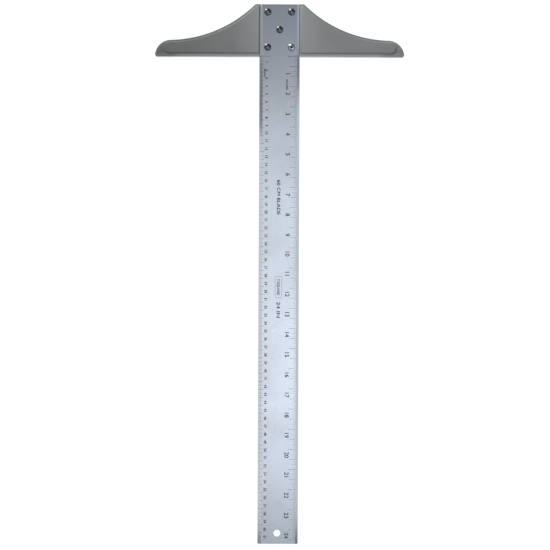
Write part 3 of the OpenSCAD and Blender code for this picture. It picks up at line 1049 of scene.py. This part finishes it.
# %% The printed frame
frame_tree, given, result = geometry_tree(
    "printed frame", width="Float", length="Float", corner="Float", line="Float", ink_height="Float",
    finish="Material")
rings = []
for inset in (0.0, -2.0):
    wide = added(frame_tree, given["Width"], given["Line"], inset)
    long = added(frame_tree, given["Length"], given["Line"], inset)
    round_r = added(frame_tree, given["Corner"], given["Line"], inset / 2)
    sides = node(frame_tree, "GeometryNodeCurvePrimitiveQuadrilateral", {"Width": wide, "Height": long})
    rings.append(node(frame_tree, "GeometryNodeFilletCurve",
                      {"Curve": sides.outputs[0], "Radius": round_r, "Count": 6}, mode="POLY").outputs[0])
filled = node(frame_tree, "GeometryNodeGroup",
              {"Geometry": joined(frame_tree, *rings), "Thickness": given["Ink Height"]}, node_tree=inking)
dress(frame_tree, filled.outputs[0], given["Finish"], result)
FRAME_X = -0.25 * MM
FRAME_Y = -290.7 * MM
name_frame = grown("name_frame", frame_tree, [(0, 0, 0)], width=8.8 * MM, length=27.4 * MM,
                   corner=2.6 * MM, line=0.35 * MM, ink_height=INK_H / 2, finish=scale_ink)
name_frame.data.transform(Matrix.Translation((FRAME_X, FRAME_Y, blade_high.z)))
print("frame", len(name_frame.data.polygons), "faces")


# %% The words
def word(name, letters, cap_height, length, baseline_x, end_y):
    """One generic word, set to a length, whose last letter ends at end_y."""
    made = grown(name, word_tree, [(0, 0, 0)], letters=letters, height=cap_height / CAP_SHARE, **PRINTED)
    natural = max(v.co.x for v in made.data.vertices) - min(v.co.x for v in made.data.vertices)
    made.data.transform(Matrix.Diagonal((length / natural, 1, 1, 1)))
    made.data.transform(Matrix.Rotation(-RIGHT_ANGLE, 4, "Z"))
    made.data.transform(Matrix.Translation((baseline_x, end_y, blade_high.z)))
    return made


word_tree, given, result = geometry_tree("word", **LETTER_SOCKETS, finish="Material")
label = node(word_tree, "GeometryNodeGroup",
             {key: given[key] for key in ("Letters", "Height", "Boldness", "Ink Height")},
             node_tree=lettering)
dress(word_tree, label.outputs[0], given["Finish"], result)
WORDS_MM = {  # name: (letters, height of a capital, length, place of the baseline, end of the word)
    "word_tool": ("T-SQUARE", 3.3, 21, -1.9, -301.2),
    "word_metric": ("METRIC", 1.9, 11, -19.6, -26.5),
    "word_inches": ("INCHES", 2.4, 13, 8.3, -42),
    "size_cm": ("60 CM BLADE", 4.3, 44, -2.4, -199.8),
    "size_inches": ("24 IN", 4.4, 20, -2.4, -330)}
words_made = [word(name, letters, *[size * MM for size in sizes])
              for name, (letters, *sizes) in WORDS_MM.items()]
print("words", [made.name for made in words_made])

# %% [markdown]
# ## Finishes on, and everything on its body
# The square has no moving parts, so every piece rides on the one body. The new pieces stand for the plain
# nodes, which are hidden. The table also lists a slot name for each, which nothing uses.

# %% Finishes and bodies
for made, finish in ((head, head_plastic), (blade, blade_metal)):
    made.data.materials.clear()
    made.data.materials.append(finish)
stands_for = {
    head: (["head"], "head_plastic"),
    blade: (["blade"], "blade_metal"),
    rivets: (["rivet_" + place for place in PLACES], "rivet_metal"),
    stubs: (["mandrel_" + place for place in PLACES], "mandrel_steel"),
    washers: (["washer_" + place for place in PLACES], "washer_steel")}
for made, (nodes, slot_name) in stands_for.items():
    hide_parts(*nodes)
    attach(made, BODY)
for made in [metric_lines, inch_lines, inch_numbers, metric_numbers, name_frame] + words_made:
    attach(made, BODY)

# %% [markdown]
# ## The floor and the lights
# Flat metal shows whatever hangs above it, so soft boxes make the blade's tones: one row overhead
# for the flat, and a row far out on each side, which only the bevels see. Each row is cut into
# strips from front to back, side by side, because two boxes in one plane would hide each other. A
# small key light, low at the back left, throws the channel's wall into shade and leaves a spark on
# every rivet. The floor is white paper lit from within a little, and from below it isn't seen.


# %% The floor
FLOOR_HALF = 15
FLOOR_DROP = 0.1 * MM
PAPER_GLOW = 0.95
floor_data = bpy.data.meshes.new("floor")
floor_data.from_pydata([(-FLOOR_HALF, -FLOOR_HALF, 0), (FLOOR_HALF, -FLOOR_HALF, 0),
                        (FLOOR_HALF, FLOOR_HALF, 0), (-FLOOR_HALF, FLOOR_HALF, 0)], [], [(0, 1, 2, 3)])
floor = bpy.data.objects.new("floor", floor_data)
bpy.context.collection.objects.link(floor)
floor.location.z = -FLOOR_DROP
paper, tree, skin, place = finish_of(
    "white_paper", roughness=0.9, specular_ior_level=0.0, base_color=(0.2, 0.2, 0.2, 1),
    emission_color=(1, 1, 1, 1), emission_strength=PAPER_GLOW)
from_below = node(tree, "ShaderNodeNewGeometry").outputs["Backfacing"]
clear = node(tree, "ShaderNodeBsdfTransparent").outputs[0]
one_sided = node(tree, "ShaderNodeMixShader", {0: from_below, 1: skin.outputs[0], 2: clear}).outputs[0]
tree.links.new(one_sided, tree.nodes["Material Output"].inputs["Surface"])
floor_data.materials.append(paper)
print("floor", 2 * FLOOR_HALF, "m wide")


# %% The lights
def softbox(name, place, aim, width, depth, brightness):
    """An area light of a given brightness per area, aimed at a point."""
    lamp = bpy.data.lights.new(name, "AREA")
    lamp.shape = "RECTANGLE"
    lamp.size = width
    lamp.size_y = depth
    lamp.energy = brightness * math.pi * width * depth
    made = bpy.data.objects.new(name, lamp)
    bpy.context.collection.objects.link(made)
    made.location = place
    made.rotation_euler = (Vector(aim) - Vector(place)).to_track_quat("-Z", "Y").to_euler()
    return made


OVERHEAD_Z = 2.0
STRIPS = {  # row: (place across, width, [(front, back, brightness)])
    "overhead": (0.36, 1.18, [(-0.97, -0.71, 0.93), (-0.71, -0.41, 1.20), (-0.41, -0.08, 1.02),
                              (-0.08, 0.16, 0.88), (0.16, 0.48, 0.18)]),
    "left": (-1.10, 0.5, [(-0.99, 0.12, 0.74), (0.13, 0.31, 0.17), (0.31, 0.70, 0.28)]),
    "right": (1.46, 0.6, [(-1.01, 0.26, 0.57), (0.36, 0.70, 0.38)])}
for row, (x, width, strips) in STRIPS.items():
    for number, (front, back, brightness) in enumerate(strips):
        y = (front + back) / 2
        softbox(f"{row}_{number}", (x, y, OVERHEAD_Z), (x, y, 0), width, back - front, brightness)
KEY_PLACE = (-1.1, 2.0, 1.2)
KEY_AIM = (0, -0.27, 0)
KEY_SIZE = 0.9
KEY_BRIGHTNESS = 16.0
softbox("key", KEY_PLACE, KEY_AIM, KEY_SIZE, KEY_SIZE, KEY_BRIGHTNESS)
print("lights", len(bpy.data.lights))

# %% The room
ROOM_LIGHT = 0.14
world = bpy.data.worlds.new("room")
bpy.context.scene.world = world
world.use_nodes = True
room = world.node_tree
walls = room.nodes["Background"]
walls.inputs["Color"].default_value = (0.9, 0.95, 1.0, 1)
walls.inputs["Strength"].default_value = ROOM_LIGHT
backdrop = node(room, "ShaderNodeBackground", {"Color": (1, 1, 1, 1), "Strength": 1.0}).outputs[0]
seen = node(room, "ShaderNodeLightPath").outputs["Is Camera Ray"]
choice = node(room, "ShaderNodeMixShader", {0: seen, 1: walls.outputs[0], 2: backdrop}).outputs[0]
room.links.new(choice, room.nodes["World Output"].inputs["Surface"])
bpy.context.scene.view_settings.view_transform = "Standard"
print("room light", ROOM_LIGHT)
